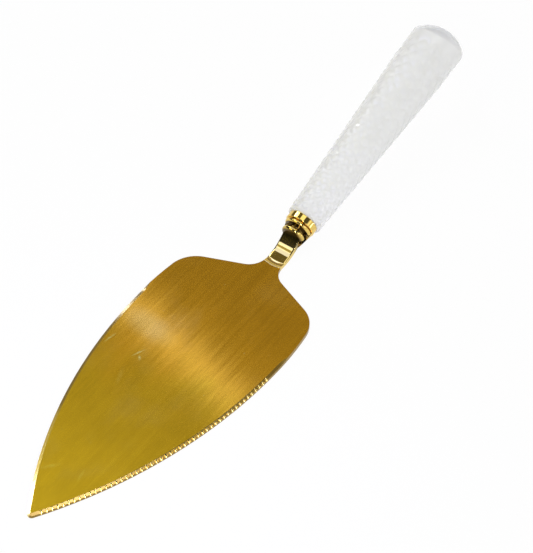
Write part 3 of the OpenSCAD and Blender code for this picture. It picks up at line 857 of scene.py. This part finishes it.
# each lamp: where it aims (from the tip, in millimetres), which way it lies from there, how far,
# which way its long side runs, its size in metres, its brightness, its tint if it is not white,
# and the width of its beam in degrees if it is narrow
lamps = {
    # mirrored in the satin: the pale band and the soft tones beside it
    "bandStrip": {"aim": 82, "toward": (0.5497, 0.3741, 0.7468), "away": 0.3502,
        "long": (0, 0.88, -0.47), "size": (0.105, 0.012), "level": 1.25, "tint": (1, 1.08, 3.2)},
    "nearPanel": {"aim": -20, "toward": (0.47, 0.30, 0.83), "away": 1.2,
        "long": (0, 1, 0), "size": (1.9, 0.21), "level": 0.46, "tint": (1, 1.1, 1)},
    "midPanel": {"aim": 60, "toward": (0.53, 0.28, 0.80), "away": 1.2,
        "long": (0, 1, 0), "size": (1.9, 0.16), "level": 0.3, "tint": (1, 0.95, 0.65)},
    "farPanel": {"aim": 125, "toward": (0.60, 0.27, 0.75), "away": 1.2,
        "long": (0, 1, 0), "size": (1.9, 0.32), "level": 0.205, "tint": (1, 0.78, 0.75)},
    # mirrored in the neck and the turned metal, with a warm fill for the handle
    "boxUpper": {"aim": 153, "toward": (-0.420, 0.391, 0.819), "away": 1.2,
        "long": (0.18, 0.92, -0.34), "size": (0.62, 0.13), "level": 1.15, "tint": (1, 1.15, 2.2)},
    "boxLower": {"aim": 153, "toward": (-0.056, 0.391, 0.918), "away": 1.2,
        "long": (0.03, 0.92, -0.39), "size": (0.62, 0.4), "level": 1.15, "tint": (1, 1.15, 2.2)},
    "boxLeft": {"aim": 153, "toward": (-0.27, 0.588, 0.763), "away": 1.2,
        "long": (0.94, 0, 0.34), "size": (0.28, 0.12), "level": 1.15, "tint": (1, 1.15, 2.2)},
    "boxRight": {"aim": 153, "toward": (-0.32, 0.174, 0.931), "away": 1.2,
        "long": (0.94, 0, 0.34), "size": (0.28, 0.12), "level": 1.15, "tint": (1, 1.15, 2.2)},
    "boxGlow": {"aim": 153, "toward": (-0.31, 0.391, 0.867), "away": 1.26,
        "long": (0, 1, 0), "size": (0.62, 0.42), "level": 0.5, "tint": (1, 0.92, 0.45)},
    "neckGold": {"aim": 150, "toward": (0.70, 0.36, 0.62), "away": 1.2,
        "long": (0, 1, 0), "size": (0.8, 0.26), "level": 0.6, "tint": (1, 0.93, 0.5)},
    "warmFill": {"aim": 190, "toward": (-0.70, 0.39, 0.60), "away": 1.3,
        "long": (0, 1, 0), "size": (0.6, 0.5), "level": 3, "tint": (1, 0.92, 0.22)},
    "neckGlow": {"aim": 153, "toward": (0.269, 0.391, 0.880), "away": 1.3,
        "long": (0, 1, 0), "size": (0.6, 0.45), "level": 0.1, "tint": (1, 0.8, 0.12)},
    # on the porcelain
    "topGlint": {"aim": 165, "toward": (0.18, 0.61, 0.765), "away": 0.9,
        "long": (0.06, 0.53, -0.22), "size": (0.29, 0.2), "level": 4},
    "overGlow": {"aim": 165, "toward": (0.13, -0.15, 0.98), "away": 1.4,
        "long": (0, 1, 0), "size": (0.7, 0.6), "level": 1.4},
    "sideStrip": {"aim": 165, "toward": (0.247, -0.846, 0.4725), "away": 1.0,
        "long": (1, 0, 0), "size": (1.3, 0.26), "level": 0.5},
    "dotLeft": {"aim": 215, "toward": (0.1751, 0.7524, 0.635), "away": 1.0167,
        "long": (0.97, -0.1, 0.21), "size": (0.085, 0.03), "level": 45},
    "dotRight": {"aim": 215, "toward": (0.3239, -0.9455, 0.0348), "away": 1.0065,
        "long": (0.95, 0.1, 0.28), "size": (0.085, 0.03), "level": 22},
    # mirrored in the bevels and the grooves
    "tipLeft": {"aim": 4, "toward": (0.256, 0.8205, 0.511), "away": 0.4,
        "long": (0.75, 0, -0.66), "size": (0.022, 0.05),
        "level": 12, "tint": (1, 1.08, 2), "cone": 40},
    "bevelGlow": {"aim": 28, "toward": (0.31, 0.826, 0.47), "away": 0.4,
        "long": (0.75, 0, -0.66), "size": (0.085, 0.06),
        "level": 0.6, "tint": (1, 0.95, 0.6), "cone": 40},
    "bevelSide": {"aim": 75, "toward": (0.4593, 0.8164, 0.3501), "away": 0.4231,
        "long": (0.92, 0.02, -0.39), "size": (0.16, 0.06),
        "level": 0.22, "tint": (1, 0.85, 0.6), "cone": 40},
    "bandEnd": {"aim": 94, "toward": (0.4940, 0.8100, 0.3160), "away": 0.4246,
        "long": (0.92, 0.02, -0.39), "size": (0.009, 0.05),
        "level": 3, "tint": (1, 1.1, 2.2), "cone": 40},
    "toothGlint": {"aim": 6, "toward": (-0.0244, -0.8172, 0.5757), "away": 0.41,
        "long": (1, 0, 0), "size": (0.2, 0.14), "level": 12, "tint": (1, 1.02, 1.5), "cone": 38},
    "tipRight": {"aim": 16, "toward": (0.2, -0.155, 0.967), "away": 0.4,
        "long": (1, 0, 0), "size": (0.07, 0.11), "level": 5, "tint": (1, 1.1, 2.2), "cone": 40},
    # from beside the camera
    "frontFill": {"aim": 165, "toward": (-0.6, -0.4, 0.70), "away": 1.8,
        "long": (1, -1, 0), "size": (0.28, 0.22), "level": 42},
}
aimHeight = 2  # of every lamp, in millimetres


def makeLights():
    for name, lamp in lamps.items():
        light = bpy.data.lights.new(name, "AREA")
        light.shape = "RECTANGLE"
        light.size, light.size_y = lamp["size"]
        light.energy = lamp["level"] * math.pi * light.size * light.size_y
        light.color = lamp.get("tint", (1, 1, 1))
        if "cone" in lamp:  # a narrow beam with the same brightness along its axis
            light.spread = math.radians(lamp["cone"])
            half = light.spread / 2
            light.energy *= 1 - half / math.tan(half)
        item = bpy.data.objects.new(name, light)
        toward = Vector(lamp["toward"]).normalized()
        side = Vector(lamp["long"])
        side = (side - side.dot(toward) * toward).normalized()
        item.rotation_euler = Matrix((side, toward.cross(side), toward)).transposed().to_euler()
        aim = Vector((cadLow.x + lamp["aim"] * mm, 0, aimHeight * mm))
        item.location = aim + toward * lamp["away"]
        item.visible_camera = False
        scene.collection.objects.link(item)


def makeCamera():
    toward = Vector(stageLook["view"]).normalized()
    right = Vector((0, 0, 1)).cross(toward).normalized()
    up = toward.cross(right)
    x, y, z = stageLook["target"]
    target = Vector((cadLow.x + x * mm, y * mm, z * mm))
    aim = target + stageLook["aimShift"] * mm * (up - right)
    data = bpy.data.cameras.new("camera")
    data.sensor_width = stageLook["sensor"]
    data.lens = stageLook["lensPixels"] / stageLook["pixelsHigh"] * data.sensor_width
    data.clip_start, data.clip_end = stageLook["clip"]
    camera = bpy.data.objects.new("camera", data)
    camera.location = aim + toward * stageLook["distance"] * mm
    camera.rotation_euler = toward.to_track_quat("Z", "Y").to_euler()
    scene.collection.objects.link(camera)
    scene.camera = camera


makeFloor()
makeWorld()
makeLights()
makeCamera()
print("stage set")
